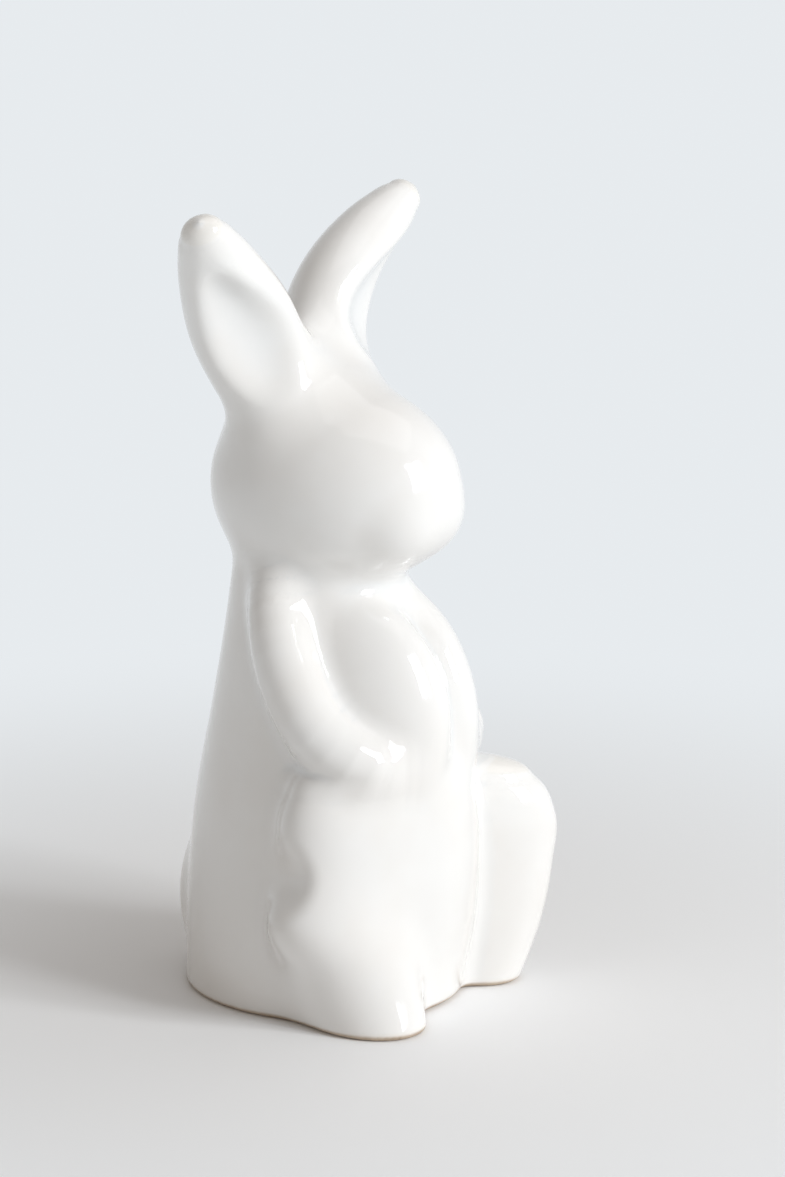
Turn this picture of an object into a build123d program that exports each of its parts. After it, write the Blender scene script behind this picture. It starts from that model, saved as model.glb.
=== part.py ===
from build123d import *
import math
import os

# Sitting rabbit figurine in glazed earthenware, made of castings luted together at the leather-hard stage.
# Millimetres. Z is up, the foot rim stands on Z = 0, the rabbit faces -Y and its right side is -X.

# Driving dimensions: torso
neck_height = 79.0           # foot rim to the top of the neck spigot
base_half_width = 22.5       # torso at the foot, to each side
base_half_depth = 24.9       # torso at the foot, to the front and to the back
neck_half_width = 14.4
neck_half_depth = 14.2
belly_swell = 2.6            # how far the belly leans forward of the foot
wall = 3.6                   # casting thickness of the torso and the head

# Driving dimensions: closing slab in the foot
base_recess = 2.0            # foot rim to the slab's underside
base_thickness = 3.2
vent_radius = 4.0            # hole that lets hot air out in the kiln

# Driving dimensions: head
head_radius = 18.4
face_length = 25.8           # widest part of the head to the nose
nape_length = 19.0           # widest part of the head to its back
head_rise = 10.4             # neck top up to the head's long axis
head_setback = 0.2           # widest part of the head behind the foot's middle

# Driving dimensions: ears
ear_rise = 32.7              # height of the ear above its root
ear_splay = 25.6             # how far the tip stands outside the root
ear_bow = 3.4                # how far the middle bends in towards the other ear
ear_sweep = 3.0              # how far the middle bends back
ear_lean = 2.0               # how far the tip stands ahead of the root
ear_half_width = 8.2
ear_half_thickness = 6.8
ear_root_spread = 8.2        # middle plane to the ear's root
ear_root_setback = 3.0       # root behind the widest part of the head
ear_turn = 34.0              # degrees that the hollow looks outwards
ear_hollow_depth = 4.4

# Driving dimensions: arms
arm_radius = 5.6
paw_half_length = 10.0       # along the way the paw points, in plan
paw_half_thickness = 6.5
paw_half_height = 15.8
paw_point_angle = 58.0       # degrees from sideways to the way the paw points, in plan
paw_tilt = 20.0              # degrees that the paw leans back, as the chest does

# Driving dimensions: left leg, with its knee raised
leg_height = 39.5
leg_half_width = 8.6
leg_half_length = 15.6
leg_spread = 20.2            # middle plane to the knee's middle
leg_advance = 17.6           # knee's middle ahead of the foot's middle
knee_turn = -30.0            # degrees that the knee turns inwards

# Driving dimensions: right leg, folded against the body
folded_height = 41.0
folded_half_width = 8.4
folded_half_length = 12.2
folded_spread = 18.6
folded_advance = 14.2
folded_turn = 56.0

# Driving dimensions: tail
tail_half_width = 8.6
tail_half_height = 12.4
tail_half_depth = 6.4
tail_lift = 1.4              # foot rim to the tail's lowest point
tail_sink = 3.2              # tail's middle inside the back

oval_points = 8              # points that each oval section is drawn through
turned_oval_points = 12
standing = (Align.CENTER, Align.CENTER, Align.MIN)

# Torso stations from the foot to the neck: height as a share of the neck height, then the share of the
# way from the neck's size to the foot's size, sideways and fore and aft, and the forward lean.
torso_height_shares = (0.0, 0.21, 0.43, 0.63, 0.81, 0.93, 1.0)
torso_width_shares = (1.0, 0.98, 0.76, 0.45, 0.22, 0.07, 0.0)
torso_depth_shares = (1.0, 1.13, 1.08, 0.74, 0.33, 0.09, 0.0)
torso_lean_shares = (0.0, 0.65, 1.0, 0.8, 0.2, -0.2, -0.3)

ear_root_share = 0.80        # how far up the head's radius the ear is rooted
ear_slope_share = 0.01       # stretch of the ear that its direction is taken over

# Ear stations along its length, with width and thickness as shares of the ear's own.
ear_length_shares = (0.0, 0.22, 0.46, 0.68, 0.85, 0.95, 1.0)
ear_width_shares = (0.66, 0.90, 1.0, 0.93, 0.72, 0.47, 0.18)
ear_thick_shares = (0.80, 0.95, 1.0, 0.92, 0.70, 0.46, 0.18)
hollow_length_shares = (0.16, 0.32, 0.54, 0.76, 0.90)
hollow_width_shares = (0.16, 0.56, 0.72, 0.56, 0.16)
hollow_depth_shares = (0.16, 0.74, 1.0, 0.80, 0.18)

# Upper arm stations from the shoulder to the elbow: height as a share of the neck height, then how far to
# the side and to the front as shares of the torso there, and the radius as a share of the arm's.
arm_height_shares = (0.945, 0.875, 0.76, 0.645, 0.572, 0.562)
arm_side_shares = (0.84, 1.03, 1.09, 1.03, 0.76, 0.42)
arm_front_shares = (-0.04, 0.06, 0.20, 0.40, 0.63, 0.72)
arm_radius_shares = (0.55, 0.84, 0.97, 1.0, 1.07, 0.95)
paw_height_share = 0.697
paw_side_share = 0.41
paw_front_share = 0.77

# Leg stations from the sole up: height, half width and half length as shares of the leg's own, its middle
# as shares of the spread and the advance, and the share of the knee's turn.
raised_leg_shares = (
    (0.0, 0.95, 0.84, 0.79, 0.94, 0.0),
    (0.26, 0.98, 0.94, 0.89, 0.98, 0.5),
    (0.50, 0.96, 0.97, 0.96, 1.01, 0.85),
    (0.72, 0.92, 0.97, 1.0, 1.01, 1.0),
    (0.90, 0.74, 0.80, 0.98, 0.95, 1.0),
    (1.0, 0.28, 0.34, 0.95, 0.90, 1.0),
)
folded_leg_shares = (
    (0.0, 1.07, 1.02, 0.82, 1.22, -0.2),
    (0.24, 1.03, 0.93, 0.88, 1.11, 0.38),
    (0.48, 0.97, 0.95, 1.0, 0.98, 0.95),
    (0.7, 0.95, 0.95, 0.95, 1.0, 1.0),
    (0.9, 0.8, 0.83, 1.02, 0.94, 1.0),
    (1.0, 0.3, 0.34, 1.05, 0.91, 1.0),
)


def blend(low, high, share):
    """Value that lies a share of the way from low to high."""
    return low + (high - low) * share


def oval(half_x, half_y):
    """Flat oval section, drawn through evenly turned points from its front round."""
    points = []
    for step in range(oval_points):
        turn = 2 * math.pi * step / oval_points
        points.append((half_x * math.sin(turn), -half_y * math.cos(turn)))
    return make_face(Spline(*points, periodic=True))


def turned_oval(half_x, half_y, turn):
    """Flat oval section, turned by degrees, drawn through points in evenly spread directions."""
    points = []
    for step in range(turned_oval_points):
        way = 2 * math.pi * step / turned_oval_points
        own_way = way - math.radians(turn)
        reach = 1 / math.hypot(math.sin(own_way) / half_x, math.cos(own_way) / half_y)
        points.append((reach * math.sin(way), -reach * math.cos(way)))
    return make_face(Spline(*points, periodic=True))


def torso_half_sizes(width_share, depth_share, inset):
    """Half width and half depth of a torso station, drawn in by the inset."""
    half_width = blend(neck_half_width, base_half_width, width_share)
    half_depth = blend(neck_half_depth, base_half_depth, depth_share)
    return half_width - inset, half_depth - inset


def torso_at(height_share):
    """Half width, half depth and middle of the torso at a share of the neck height."""
    station = 1
    while height_share > torso_height_shares[station]:
        station += 1
    low, high = torso_height_shares[station - 1], torso_height_shares[station]
    along = (height_share - low) / (high - low)
    tables = (torso_width_shares, torso_depth_shares, torso_lean_shares)
    width, depth, lean = (blend(table[station - 1], table[station], along) for table in tables)
    half_width, half_depth = torso_half_sizes(width, depth, 0)
    return half_width, half_depth, -belly_swell * lean


def torso_solid(inset):
    """Whole torso from the foot to the neck top, drawn in by the inset."""
    sections = []
    stations = zip(torso_height_shares, torso_width_shares, torso_depth_shares, torso_lean_shares)
    for height, width, depth, lean in stations:
        half_width, half_depth = torso_half_sizes(width, depth, inset)
        place = Pos(0, -belly_swell * lean, neck_height * height)
        sections.append(place * oval(half_width, half_depth))
    return loft(sections)


def head_solid(inset):
    """Egg of the head, turned about its long axis, drawn in by the inset."""
    radius = head_radius - inset
    face, nape = face_length - inset, nape_length - inset
    front_half = EllipticalCenterArc((0, 0), face, radius, start_angle=90)
    back_half = EllipticalCenterArc((0, 0), nape, radius, start_angle=0)
    chord = Line((-face, 0), (nape, 0))
    outline = make_face([front_half, back_half, chord])
    egg = revolve(outline, Axis.X)
    middle = Pos(0, head_setback, neck_height + head_rise)
    return middle * Rot(0, 0, 90) * egg


def above_neck():
    """Block that holds everything of the head above the neck top."""
    side = 2 * (face_length + nape_length)
    block = Box(side, side, head_rise + head_radius, align=standing)
    return Pos(0, 0, neck_height) * block


def ear_point(share):
    """Point on the right ear's middle line, at a share of its length."""
    bend = 4 * share * (1 - share)
    side = ear_root_spread + ear_splay * share - ear_bow * bend
    back = head_setback + ear_root_setback + ear_sweep * bend - ear_lean * share
    root_height = neck_height + head_rise + head_radius * ear_root_share
    return Vector(-side, back, root_height + ear_rise * share)


def ear_plane(share):
    """Plane square to the ear's middle line, with X across the ear and Y out of its front."""
    along = ear_point(share + ear_slope_share) - ear_point(share - ear_slope_share)
    turn = math.radians(ear_turn)
    outward = Vector(-math.cos(turn), math.sin(turn), 0)
    across = outward - along * (outward.dot(along) / along.dot(along))
    return Plane(ear_point(share), x_dir=across, z_dir=along)


def ear_solid():
    """Right ear, rooted inside the head, with the hollow in its front."""
    body, hollow = [], []
    for share, width, thick in zip(ear_length_shares, ear_width_shares, ear_thick_shares):
        body.append(ear_plane(share) * oval(ear_half_width * width, ear_half_thickness * thick))
    for share, width, depth in zip(hollow_length_shares, hollow_width_shares, hollow_depth_shares):
        place = ear_plane(share) * Pos(0, ear_half_thickness)
        hollow.append(place * oval(ear_half_width * width, ear_hollow_depth * depth))
    return loft(body) - loft(hollow)


def arm_solid():
    """Right arm: the upper arm down to the elbow, and the paw raised against the chest."""
    points = []
    for height, side, front in zip(arm_height_shares, arm_side_shares, arm_front_shares):
        half_width, half_depth, middle = torso_at(height)
        points.append(Vector(-half_width * side, middle - half_depth * front, neck_height * height))
    sections = []
    for index, share in enumerate(arm_radius_shares):
        before = points[max(index - 1, 0)]
        after = points[min(index + 1, len(points) - 1)]
        sections.append(Plane(points[index], z_dir=after - before) * Circle(arm_radius * share))
    half_width, half_depth, middle = torso_at(paw_height_share)
    paw_front = middle - half_depth * paw_front_share
    place = Pos(-half_width * paw_side_share, paw_front, neck_height * paw_height_share)
    paw = scale(Sphere(1), by=(paw_half_length, paw_half_thickness, paw_half_height))
    arm = loft(sections) + place * Rot(-paw_tilt, 0, 0) * Rot(0, 0, -paw_point_angle) * paw
    reach = base_half_width + base_half_depth
    right_side = Box(reach, reach + reach, neck_height, align=(Align.MAX, Align.CENTER, Align.MIN))
    return arm & right_side


def leg_solid(sizes, turn, shares):
    """Hind leg on the right, a stack of ovals from the sole up, by its sizes and its stations."""
    full_height, half_width, half_length, full_spread, full_advance = sizes
    sections = []
    for height, width, length, spread, advance, turned in shares:
        place = Pos(-full_spread * spread, -full_advance * advance, full_height * height)
        sections.append(place * turned_oval(half_width * width, half_length * length, turn * turned))
    return loft(sections)


def tail_solid():
    """Round scut, part sunk in the back."""
    middle_height = tail_lift + tail_half_height
    half_width, half_depth, middle = torso_at(middle_height / neck_height)
    place = Pos(0, middle + half_depth - tail_sink, middle_height)
    return place * scale(Sphere(1), by=(tail_half_width, tail_half_depth, tail_half_height))


def both_sides(shape):
    """The right-hand shape with its mirror image, by side."""
    return {"right": shape, "left": mirror(shape, about=Plane.YZ)}


def main():
    """Cut the castings to one another and write each to its own file."""
    torso = torso_solid(0)
    bore = torso_solid(wall)
    head = head_solid(0)
    cavity = head_solid(wall) & above_neck()
    slab_side = 2 * (base_half_width + base_half_depth)
    slab = Pos(0, 0, base_recess) * Box(slab_side, slab_side, base_thickness, align=standing)
    vent = Cylinder(vent_radius, base_recess + base_thickness + base_recess, align=standing)
    pieces = {
        "torso_shell": torso - bore,
        "head_shell": head - cavity - torso,
        "tail": tail_solid() - torso,
        "base_disc": (bore & slab) - vent,
    }
    for side, ear in both_sides(ear_solid()).items():
        pieces[f"ear_{side}"] = ear - head
    for side, arm in both_sides(arm_solid()).items():
        pieces[f"arm_{side}"] = arm - torso
    raised_sizes = (leg_height, leg_half_width, leg_half_length, leg_spread, leg_advance)
    raised = leg_solid(raised_sizes, knee_turn, raised_leg_shares)
    folded_sizes = (folded_height, folded_half_width, folded_half_length, folded_spread, folded_advance)
    folded = leg_solid(folded_sizes, folded_turn, folded_leg_shares)
    legs = {"right": folded, "left": mirror(raised, about=Plane.YZ)}
    for side, leg in legs.items():
        pieces[f"leg_{side}"] = leg - torso - pieces[f"arm_{side}"]
    boxes = [shape.bounding_box() for shape in pieces.values()]
    front = min(box.min.Y for box in boxes)
    back = max(box.max.Y for box in boxes)
    centred = Pos(0, -(front + back) / 2, 0)
    os.makedirs("parts", exist_ok=True)
    for node, shape in pieces.items():
        export_step(centred * shape, f"parts/{node}.step")


main()
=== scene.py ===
"""Looks of a glazed rabbit figurine, built around its packed castings."""
import logging
import math
from dataclasses import dataclass, field
from enum import Enum
from typing import Callable

import bpy
import numpy as np
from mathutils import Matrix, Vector


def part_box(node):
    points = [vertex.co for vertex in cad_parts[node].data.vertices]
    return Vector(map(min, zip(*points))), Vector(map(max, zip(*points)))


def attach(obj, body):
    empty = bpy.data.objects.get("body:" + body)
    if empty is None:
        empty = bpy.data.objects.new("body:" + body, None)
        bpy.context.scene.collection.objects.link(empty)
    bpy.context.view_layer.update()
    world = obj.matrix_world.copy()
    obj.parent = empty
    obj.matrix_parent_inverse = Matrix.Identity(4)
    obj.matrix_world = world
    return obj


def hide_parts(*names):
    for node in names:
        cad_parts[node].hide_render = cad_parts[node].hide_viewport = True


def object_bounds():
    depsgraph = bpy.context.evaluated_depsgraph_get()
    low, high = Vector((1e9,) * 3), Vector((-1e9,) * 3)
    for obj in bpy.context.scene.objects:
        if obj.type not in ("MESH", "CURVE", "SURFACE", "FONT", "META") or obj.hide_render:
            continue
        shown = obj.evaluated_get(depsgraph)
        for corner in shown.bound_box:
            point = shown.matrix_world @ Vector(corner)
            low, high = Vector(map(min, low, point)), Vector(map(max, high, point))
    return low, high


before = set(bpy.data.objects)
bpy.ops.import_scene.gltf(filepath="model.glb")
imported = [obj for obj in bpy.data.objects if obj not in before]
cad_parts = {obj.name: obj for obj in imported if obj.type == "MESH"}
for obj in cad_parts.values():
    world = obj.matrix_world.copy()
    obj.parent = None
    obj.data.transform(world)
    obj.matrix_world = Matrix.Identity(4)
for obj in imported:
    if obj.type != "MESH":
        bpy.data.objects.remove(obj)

CAD_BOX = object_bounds()
MILLIMETRE = 0.001
BODY = "root"
TINY = 1e-9

Array = np.ndarray
Field = Callable[[Array], Array]
log = logging.getLogger("rabbit")


class Slot(Enum):
    """Material slots of the record that the pieces take their finish from."""

    GLAZE = "white_glaze"
    CLAY = "bare_clay"


class Side(Enum):
    """The rabbit's own sides, with the sign that X has there."""

    RIGHT = -1
    LEFT = 1


# Distance fields that the forms are made of

def join(first: Array, second: Array, fillet: float) -> Array:
    """Distance to two forms run together.

    Args:
        first: Distances to the one form.
        second: Distances to the other form.
        fillet: How far the glaze rounds the crease between them.

    Returns:
        The distances to both, with the crease filled.
    """
    near = np.maximum(fillet - np.abs(first - second), 0) / fillet
    return np.minimum(first, second) - near * near * fillet / 4


def carve(form: Array, tool: Array, fillet: float) -> Array:
    """Distance to a form with a tool's shape taken out of it, its edge rounded by the fillet."""
    return -join(-form, tool, fillet)


def oval(offsets: Array, half_sizes: Array) -> Array:
    """Distance to an ellipsoid.

    Args:
        offsets: Points from the ellipsoid's middle, along its own axes.
        half_sizes: Its three half sizes, one row for all points or one for each.

    Returns:
        The distances, negative inside.
    """
    scaled = np.linalg.norm(offsets / half_sizes, axis=1)
    slope = np.linalg.norm(offsets / np.square(half_sizes), axis=1)
    return scaled * (scaled - 1) / np.maximum(slope, TINY)


def tube(points: Array, line: Array, radii: Array) -> Array:
    """Distance to a round limb along a line of points, with its radius at each.

    Args:
        points: Where the distance is wanted.
        line: Points of the limb's middle line.
        radii: The limb's radius at each of them.

    Returns:
        The distances, negative inside.
    """
    nearest = np.full(len(points), np.inf)
    for start, end, thick, thin in zip(line[:-1], line[1:], radii[:-1], radii[1:]):
        run = end - start
        along = np.clip((points - start) @ run / (run @ run), 0, 1)
        away = np.linalg.norm(points - start - along[:, None] * run, axis=1)
        nearest = np.minimum(nearest, away - thick - (thin - thick) * along)
    return nearest


def gradient(distance: Field, points: Array) -> Array:
    """Slope of a distance field.

    Args:
        distance: The field.
        points: Where its slope is wanted.

    Returns:
        One slope vector for each point.
    """
    reach = 0.05
    slopes = np.empty_like(points)
    for axis in range(3):
        shift = np.zeros(3)
        shift[axis] = reach
        slopes[:, axis] = (distance(points + shift) - distance(points - shift)) / (2 * reach)
    return slopes


def drop_onto(distance: Field, points: Array, rounds: int = 2) -> Array:
    """Points moved along the field's slope on to its surface.

    Args:
        distance: The field.
        points: Where they start.
        rounds: How often they are moved.

    Returns:
        The points on the surface.
    """
    least_slope = 0.1
    for _ in range(rounds):
        slope = gradient(distance, points)
        steep = np.maximum(np.square(slope).sum(axis=1), least_slope)
        points = points - (distance(points) / steep)[:, None] * slope
    return points


def flipped(points: Array) -> Array:
    """Mirror images of points on the other side of the middle plane."""
    return points * np.array((-1, 1, 1))


def mirrored(points: Array, fold: float = 0.5) -> Array:
    """Points turned over to the right side.

    Args:
        points: Points on either side.
        fold: How far from the middle plane the fold is soft.

    Returns:
        Their places on the right side.
    """
    folded = points.copy()
    folded[:, 0] = -np.hypot(points[:, 0], fold)
    return folded


@dataclass(frozen=True)
class Profile:
    """Smooth curve through a few listed values."""

    stations: tuple[float, ...]
    values: tuple[float, ...]

    def at(self, where: Array) -> Array:
        """Value of the curve.

        Args:
            where: Places along the stations.

        Returns:
            The value at each place.
        """
        stations = np.array(self.stations)
        values = np.array(self.values)
        slopes = np.gradient(values, stations)
        index = np.clip(np.searchsorted(stations, where) - 1, 0, len(stations) - 2)
        span = stations[index + 1] - stations[index]
        t = np.clip((where - stations[index]) / span, 0, 1)
        rise = t * t * (3 - 2 * t)
        start = t * (1 - t) * (1 - t) * span * slopes[index]
        end = t * t * (t - 1) * span * slopes[index + 1]
        return values[index] * (1 - rise) + values[index + 1] * rise + start + end


@dataclass(frozen=True)
class Castings:
    """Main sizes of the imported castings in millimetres, read off their boxes."""

    neck_height: float
    foot_half_width: float
    head_radius: float
    head_height: float
    head_back: float
    folded_height: float
    raised_height: float

    @classmethod
    def read(cls) -> "Castings":
        """Sizes of the castings in the frame.

        Returns:
            The sizes in millimetres.
        """
        torso_low, torso_high = (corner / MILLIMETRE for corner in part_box("torso_shell"))
        head_low, head_high = (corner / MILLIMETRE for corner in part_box("head_shell"))
        folded_low, folded_high = (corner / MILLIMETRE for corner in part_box("leg_right"))
        raised_low, raised_high = (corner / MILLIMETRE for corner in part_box("leg_left"))
        head_radius = (head_high.x - head_low.x) / 2
        return cls(
            neck_height=torso_high.z,
            foot_half_width=(torso_high.x - torso_low.x) / 2,
            head_radius=head_radius,
            head_height=head_high.z - head_radius,
            head_back=head_high.y,
            folded_height=folded_high.z - folded_low.z,
            raised_height=raised_high.z - raised_low.z,
        )


@dataclass
class Torso:
    """Cone-shaped body, an upright stack of ovals, in millimetres from the foot's middle."""

    neck_height: float
    foot_half_width: float
    foot_half_depth: float = 24.9
    neck_half_width: float = 14.4
    neck_half_depth: float = 14.2
    belly_swell: float = 2.6
    spigot: float = 7.0
    wall: float = 3.6
    stations: tuple[float, ...] = (0.0, 0.21, 0.43, 0.63, 0.81, 0.93, 1.0)
    widths: tuple[float, ...] = (1.0, 0.98, 0.76, 0.45, 0.22, 0.07, 0.0)
    depths: tuple[float, ...] = (1.0, 1.13, 1.08, 0.74, 0.33, 0.09, 0.0)
    leans: tuple[float, ...] = (0.0, 0.65, 1.0, 0.8, 0.2, -0.2, -0.3)

    def section(self, heights: Array) -> tuple[Array, Array, Array]:
        """Ovals of the torso.

        Args:
            heights: Heights above the foot.

        Returns:
            Half width, half depth and middle of the oval at each height.
        """
        share = np.clip(heights / self.neck_height, 0, 1)
        tables = (self.widths, self.depths, self.leans)
        width, depth, lean = (Profile(self.stations, table).at(share) for table in tables)
        half_width = self.neck_half_width + (self.foot_half_width - self.neck_half_width) * width
        half_depth = self.neck_half_depth + (self.foot_half_depth - self.neck_half_depth) * depth
        return half_width, half_depth, -self.belly_swell * lean

    def distance(self, points: Array) -> Array:
        """Distance of points to the torso.

        Args:
            points: Where the distance is wanted.

        Returns:
            The distances, negative inside.
        """
        half_width, half_depth, middle = self.section(points[:, 2])
        flat = np.stack([points[:, 0], points[:, 1] - middle], axis=1)
        side = oval(flat, np.stack([half_width, half_depth], axis=1))
        return np.maximum(side, points[:, 2] - self.neck_height - self.spigot)

    def place(self, height: float, side_share: float, front_share: float) -> Array:
        """Point beside the torso on the right.

        Args:
            height: Its height above the foot.
            side_share: How far to the side, as a share of the torso's half width there.
            front_share: How far to the front, as a share of the torso's half depth there.

        Returns:
            The point.
        """
        half_width, half_depth, middle = (size[0] for size in self.section(np.array([height])))
        return np.array((-half_width * side_share, middle - half_depth * front_share, height))


@dataclass
class Head:
    """Egg-shaped head with its muzzle."""

    radius: float
    height: float
    face_length: float = 25.8
    nape_length: float = 19.0
    setback: float = 0.2
    pad_middle: tuple[float, float, float] = (-4.4, -18.6, -4.6)
    pad_half_sizes: tuple[float, float, float] = (5.4, 4.8, 4.6)
    pad_fold: float = 2.2
    ear_spread: float = 8.2
    ear_setback: float = 3.0
    ear_root_share: float = 0.8
    pad_fillet: float = 5.0

    def distance(self, points: Array) -> Array:
        """Distance of points to the head.

        Args:
            points: Where the distance is wanted.

        Returns:
            The distances, negative inside.
        """
        offsets = points - np.array((0, self.setback, self.height))
        length = np.where(offsets[:, 1] < 0, self.face_length, self.nape_length)
        across = np.full(len(points), self.radius)
        egg = oval(offsets, np.stack([across, length, across], axis=1))
        beside = mirrored(offsets, self.pad_fold) - np.array(self.pad_middle)
        pad = oval(beside, np.array(self.pad_half_sizes))
        return join(egg, pad, self.pad_fillet)

    def ear_root(self) -> Array:
        """Middle of the right ear's root."""
        up = self.height + self.radius * self.ear_root_share
        return np.array((-self.ear_spread, self.setback + self.ear_setback, up))


@dataclass
class Ear:
    """Ear in the right-hand sense: ovals along a bowed middle line, with a soft trough in front."""

    root: Array
    turn: float
    rise: float = 33.2
    splay: float = 26.4
    bow: float = 3.4
    sweep: float = 3.0
    lean: float = 2.0
    half_width: float = 9.0
    half_thickness: float = 7.0
    trough_width: float = 5.6
    trough_depth: float = 3.0
    trough_shift: float = 1.0
    trough_tilt: float = 16.0
    trough_fillet: float = 5.0
    seek_rounds: int = 4
    stations: tuple[float, ...] = (0.0, 0.22, 0.46, 0.68, 0.84, 0.93, 0.98, 1.0)
    widths: tuple[float, ...] = (0.90, 1.0, 1.0, 0.82, 0.61, 0.44, 0.26, 0.04)
    thicknesses: tuple[float, ...] = (1.0, 1.03, 0.97, 0.82, 0.63, 0.46, 0.28, 0.04)
    trough_stations: tuple[float, ...] = (0.0, 0.14, 0.34, 0.56, 0.76, 0.92, 1.0)
    trough_widths: tuple[float, ...] = (0.60, 0.82, 1.0, 0.82, 0.52, 0.36, 0.30)
    trough_lifts: tuple[float, ...] = (1.0, 0.45, 0.0, 0.05, 0.36, 0.9, 1.0)

    @classmethod
    def right(cls, root: Array) -> "Ear":
        """Right ear on its root, with a trough that looks well outwards."""
        return cls(root, turn=34.0)

    @classmethod
    def left(cls, root: Array) -> "Ear":
        """Left ear on its root, in the right-hand sense: thicker, with a trough that looks more ahead."""
        return cls(root, turn=14.0, rise=32.4, splay=24.6, bow=4.2, sweep=4.4, half_thickness=8.0)

    def along(self, points: Array) -> tuple[Array, Array]:
        """Places of points along the ear.

        Args:
            points: Where they are.

        Returns:
            Share of the ear's length, and offsets across the ear, out of its front and past its ends.
        """
        reach = np.array((-self.splay, -self.lean, self.rise))
        bend = 4 * np.array((self.bow, self.sweep, 0))
        start = reach + bend
        offsets = points - self.root
        share = np.clip(offsets @ reach / (reach @ reach), 0, 1)
        for _ in range(self.seek_rounds):
            away = offsets - share[:, None] * start + np.square(share)[:, None] * bend
            run = start - 2 * share[:, None] * bend
            slope = np.square(run).sum(axis=1) + 2 * (away @ bend)
            share = np.clip(share + (away * run).sum(axis=1) / np.maximum(slope, 1), 0, 1)
        away = offsets - share[:, None] * start + np.square(share)[:, None] * bend
        run = start - 2 * share[:, None] * bend
        run = run / np.linalg.norm(run, axis=1)[:, None]
        turn = math.radians(self.turn)
        outward = np.array((-math.cos(turn), math.sin(turn), 0))
        across = outward - run * (run @ outward)[:, None]
        across = across / np.linalg.norm(across, axis=1)[:, None]
        front = np.cross(run, across)
        local = [(away * axis).sum(axis=1) for axis in (across, front, run)]
        return share, np.stack(local, axis=1)

    def distance(self, points: Array) -> Array:
        """Distance of points to the ear.

        Args:
            points: Where the distance is wanted.

        Returns:
            The distances, negative inside.
        """
        share, offsets = self.along(points)
        width = self.half_width * Profile(self.stations, self.widths).at(share)
        thickness = self.half_thickness * Profile(self.stations, self.thicknesses).at(share)
        body = oval(offsets, np.stack([width, thickness, np.sqrt(width * thickness)], axis=1))
        return carve(body, self.trough(share, offsets, thickness), self.trough_fillet)

    def trough(self, share: Array, offsets: Array, thickness: Array) -> Array:
        """Distance to the tool that presses the trough into the ear's front.

        Args:
            share: Places along the ear.
            offsets: Offsets across the ear, out of its front and past its ends.
            thickness: The ear's half thickness at those places.

        Returns:
            The distances, negative inside the tool.
        """
        mouth = self.trough_width * Profile(self.trough_stations, self.trough_widths).at(share)
        gone = self.trough_fillet + self.trough_depth / 2
        lift = gone * Profile(self.trough_stations, self.trough_lifts).at(share)
        tilt = math.radians(self.trough_tilt)
        across = offsets[:, 0] - self.trough_shift
        ahead = offsets[:, 1] - thickness
        along = across * math.cos(tilt) + ahead * math.sin(tilt)
        out = ahead * math.cos(tilt) - across * math.sin(tilt)
        bowl = np.square(along / mouth) + np.square(out / self.trough_depth) - 1
        return bowl * self.trough_depth / 2 + lift


@dataclass
class Arm:
    """Right arm: the upper arm down to the elbow, and the paw raised against the chest."""

    torso: Torso
    radius: float = 5.6
    paw_half_sizes: tuple[float, float, float] = (10.0, 6.5, 15.8)
    paw_point_angle: float = 58.0
    paw_tilt: float = 20.0
    elbow_fillet: float = 3.0
    height_shares: tuple[float, ...] = (0.945, 0.875, 0.76, 0.645, 0.572, 0.562)
    side_shares: tuple[float, ...] = (0.84, 1.03, 1.09, 1.03, 0.76, 0.42)
    front_shares: tuple[float, ...] = (-0.04, 0.06, 0.20, 0.40, 0.63, 0.72)
    radius_shares: tuple[float, ...] = (0.55, 0.84, 0.97, 1.0, 1.07, 0.95)
    paw_shares: tuple[float, float, float] = (0.697, 0.41, 0.77)
    steps: int = 16

    def limb(self) -> tuple[Array, Array]:
        """Upper arm.

        Returns:
            Points of its middle line, and its radius at each.
        """
        neck = self.torso.neck_height
        shares = zip(self.height_shares, self.side_shares, self.front_shares)
        knots = np.array([self.torso.place(neck * height, side, front) for height, side, front in shares])
        stations = tuple(range(len(knots)))
        where = np.linspace(0, stations[-1], self.steps)
        line = np.stack([Profile(stations, tuple(knots[:, axis])).at(where) for axis in range(3)], axis=1)
        return line, self.radius * Profile(stations, self.radius_shares).at(where)

    def paw(self, points: Array) -> Array:
        """Distance of points to the paw.

        Args:
            points: Where the distance is wanted.

        Returns:
            The distances, negative inside.
        """
        height, side, front = self.paw_shares
        middle = self.torso.place(self.torso.neck_height * height, side, front)
        point = math.radians(self.paw_point_angle)
        tilt = math.radians(self.paw_tilt)
        reach = math.sin(point)
        ahead = np.array((math.cos(point), -reach * math.cos(tilt), reach * math.sin(tilt)))
        upward = np.array((0, math.sin(tilt), math.cos(tilt)))
        axes = np.stack([ahead, np.cross(upward, ahead), upward])
        return oval((points - middle) @ axes.T, np.array(self.paw_half_sizes))

    def distance(self, points: Array) -> Array:
        """Distance of points to the arm."""
        line, radii = self.limb()
        return join(tube(points, line, radii), self.paw(points), self.elbow_fillet)


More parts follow.
